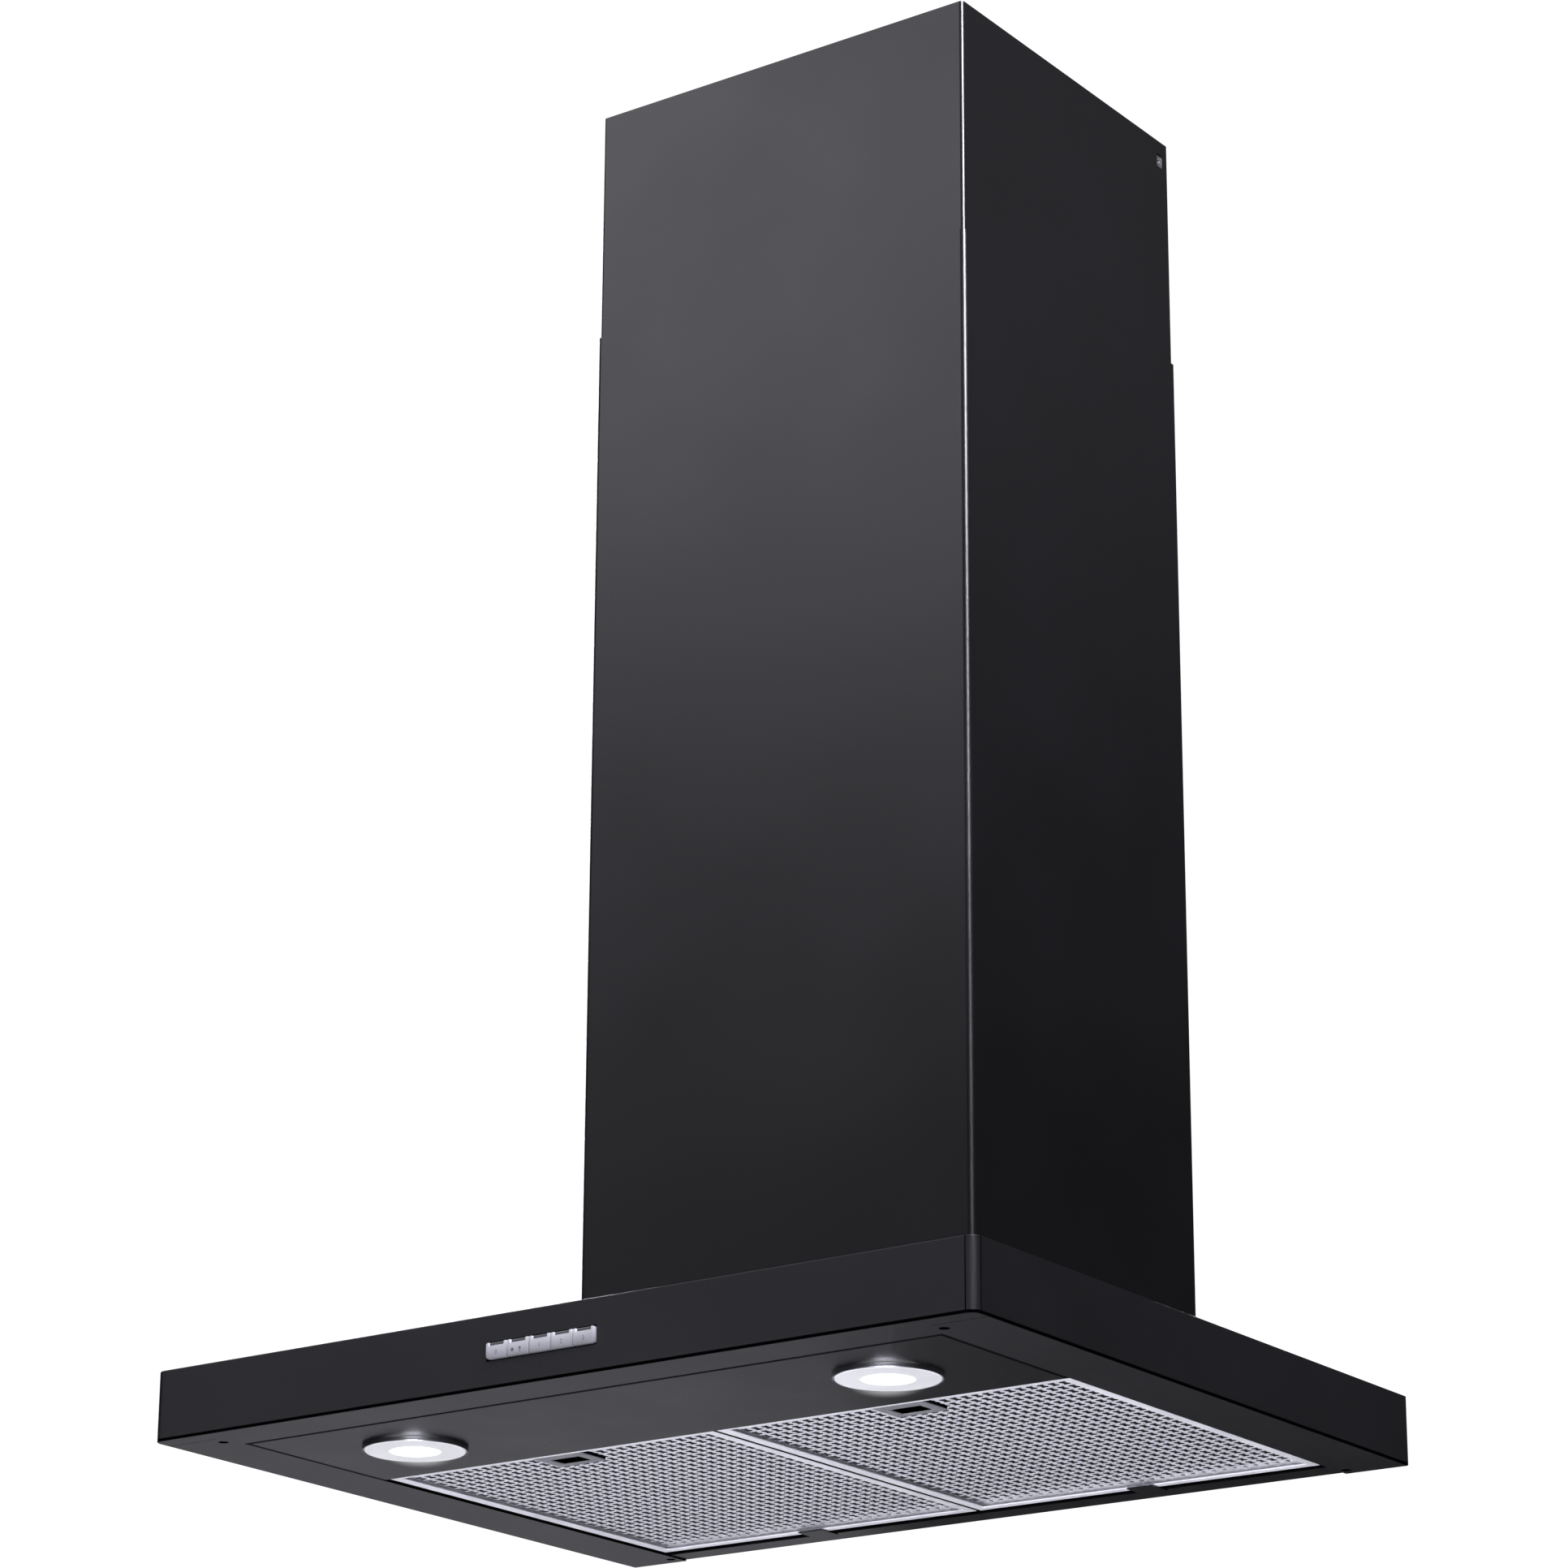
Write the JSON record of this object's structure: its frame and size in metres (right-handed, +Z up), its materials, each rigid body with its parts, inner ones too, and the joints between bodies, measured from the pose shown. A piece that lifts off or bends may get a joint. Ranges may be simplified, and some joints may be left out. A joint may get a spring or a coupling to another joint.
{
  "type": "chimney range hood",
  "caption": "Black wall-mounted box-canopy range hood with a two-part sliding chimney, mesh grease filters, push buttons, lamps and an internal blower.",
  "frame": {"origin": "on the wall plane, below the middle of the canopy, level with the canopy's underside", "axes": "+X to the right seen from the front, +Y towards the wall, +Z up along the chimney"},
  "size_m": [0.6, 0.49, 0.9557],
  "materials": {
    "black_paint": "semi-gloss black powder paint on folded steel sheet",
    "filter_aluminium": "bright rolled aluminium channel",
    "mesh_aluminium": "bright expanded aluminium layers",
    "latch_grey": "grey coated pressed latch",
    "chrome": "polished chrome-plated ring",
    "opal_glass": "opal lit glass",
    "heat_sink": "matt die-cast heat sink",
    "silver_plastic": "satin silver moulded cap",
    "black_plastic": "black moulded plastic",
    "white_plastic": "off-white moulded plastic",
    "grey_plastic": "grey moulded plastic",
    "circuit_board": "green circuit board",
    "zinc_steel": "zinc-coated steel sheet",
    "motor_steel": "pressed motor can",
    "screw_steel": "zinc-plated screws",
    "rubber": "black rubber",
    "copper_can": "drawn aluminium can"
  },
  "bodies": {
    "canopy": {"canopy_shell": "black_paint", "lamp_panel": "black_paint", "rear_rail": "black_paint", "lower_chimney": "black_paint", "lamp_clips": "screw_steel", "led_driver": "white_plastic", "control_housing": "black_plastic", "switch_board": "circuit_board", "microswitches": "black_plastic", "blower_wrap": "zinc_steel", "blower_back": "zinc_steel", "blower_top": "zinc_steel", "blower_screws": "screw_steel", "chimney_screws": "screw_steel", "collar_screws": "screw_steel", "scroll_left": "grey_plastic", "scroll_right": "grey_plastic", "motor": "motor_steel", "motor_bracket": "zinc_steel", "bracket_screws": "screw_steel", "capacitor": "copper_can", "capacitor_clip": "zinc_steel", "terminal_box": "white_plastic", "terminal_cover": "white_plastic", "cable_gland": "rubber", "outlet_collar": "grey_plastic", "damper_pin": "screw_steel", "lamp_left_bezel": "chrome", "lamp_left_lens": "opal_glass", "lamp_left_module": "heat_sink", "lamp_right_bezel": "chrome", "lamp_right_lens": "opal_glass", "lamp_right_module": "heat_sink"},
    "upper_chimney": {"upper_chimney": "black_paint", "chimney_bracket": "zinc_steel"},
    "impeller": {"impeller_web": "white_plastic", "impeller_blades": "white_plastic", "impeller_rings": "white_plastic", "motor_shaft": "screw_steel"},
    "flap_front": {"damper_flap_front": "black_plastic"},
    "flap_rear": {"damper_flap_rear": "black_plastic"},
    "button_0": {"button_0": "silver_plastic"},
    "button_1": {"button_1": "silver_plastic"},
    "button_2": {"button_2": "silver_plastic"},
    "button_3": {"button_3": "silver_plastic"},
    "button_4": {"button_4": "silver_plastic"},
    "filter_left": {"filter_left_frame": "filter_aluminium", "filter_left_mesh": "mesh_aluminium", "filter_left_latch_cup": "latch_grey"},
    "latch_left": {"filter_left_latch_slider": "latch_grey"},
    "filter_right": {"filter_right_frame": "filter_aluminium", "filter_right_mesh": "mesh_aluminium", "filter_right_latch_cup": "latch_grey"},
    "latch_right": {"filter_right_latch_slider": "latch_grey"}
  },
  "joints": [
    {"name": "upper_chimney_slide", "type": "slide", "parent": "canopy", "child": "upper_chimney", "axis": [0, 0, 1], "range_m": [-0.13, 0.22]},
    {"name": "button_0_press", "type": "slide", "parent": "canopy", "child": "button_0", "axis": [0, 1, 0], "range_m": [0, 0.0025], "stiffness_N_per_m": 800, "springref_m": -0.001},
    {"name": "button_1_press", "type": "slide", "parent": "canopy", "child": "button_1", "axis": [0, 1, 0], "range_m": [0, 0.0025], "stiffness_N_per_m": 800, "springref_m": -0.001},
    {"name": "button_2_press", "type": "slide", "parent": "canopy", "child": "button_2", "axis": [0, 1, 0], "range_m": [0, 0.0025], "stiffness_N_per_m": 800, "springref_m": -0.001},
    {"name": "button_3_press", "type": "slide", "parent": "canopy", "child": "button_3", "axis": [0, 1, 0], "range_m": [0, 0.0025], "stiffness_N_per_m": 800, "springref_m": -0.001},
    {"name": "button_4_press", "type": "slide", "parent": "canopy", "child": "button_4", "axis": [0, 1, 0], "range_m": [0, 0.0025], "stiffness_N_per_m": 800, "springref_m": -0.001},
    {"name": "filter_left_drop", "type": "hinge", "parent": "canopy", "child": "filter_left", "pos_m": [-0.1274, -0.0369, 0.0008], "axis": [1, 0, 0], "range_deg": [0, 60]},
    {"name": "latch_left_pull", "type": "slide", "parent": "filter_left", "child": "latch_left", "axis": [0, 1, 0], "range_m": [0, 0.007], "stiffness_N_per_m": 400, "springref_m": -0.002},
    {"name": "filter_right_drop", "type": "hinge", "parent": "canopy", "child": "filter_right", "pos_m": [0.1274, -0.0369, 0.0008], "axis": [1, 0, 0], "range_deg": [0, 60]},
    {"name": "latch_right_pull", "type": "slide", "parent": "filter_right", "child": "latch_right", "axis": [0, 1, 0], "range_m": [0, 0.007], "stiffness_N_per_m": 400, "springref_m": -0.002},
    {"name": "impeller_spin", "type": "hinge", "parent": "canopy", "child": "impeller", "pos_m": [0, -0.112, 0.15], "axis": [1, 0, 0], "continuous": true},
    {"name": "flap_front_lift", "type": "hinge", "parent": "canopy", "child": "flap_front", "pos_m": [0, -0.1325, 0.3245], "axis": [-1, 0, 0], "range_deg": [0, 75]},
    {"name": "flap_rear_lift", "type": "hinge", "parent": "canopy", "child": "flap_rear", "pos_m": [0, -0.1325, 0.3245], "axis": [1, 0, 0], "range_deg": [0, 75]}
  ]
}
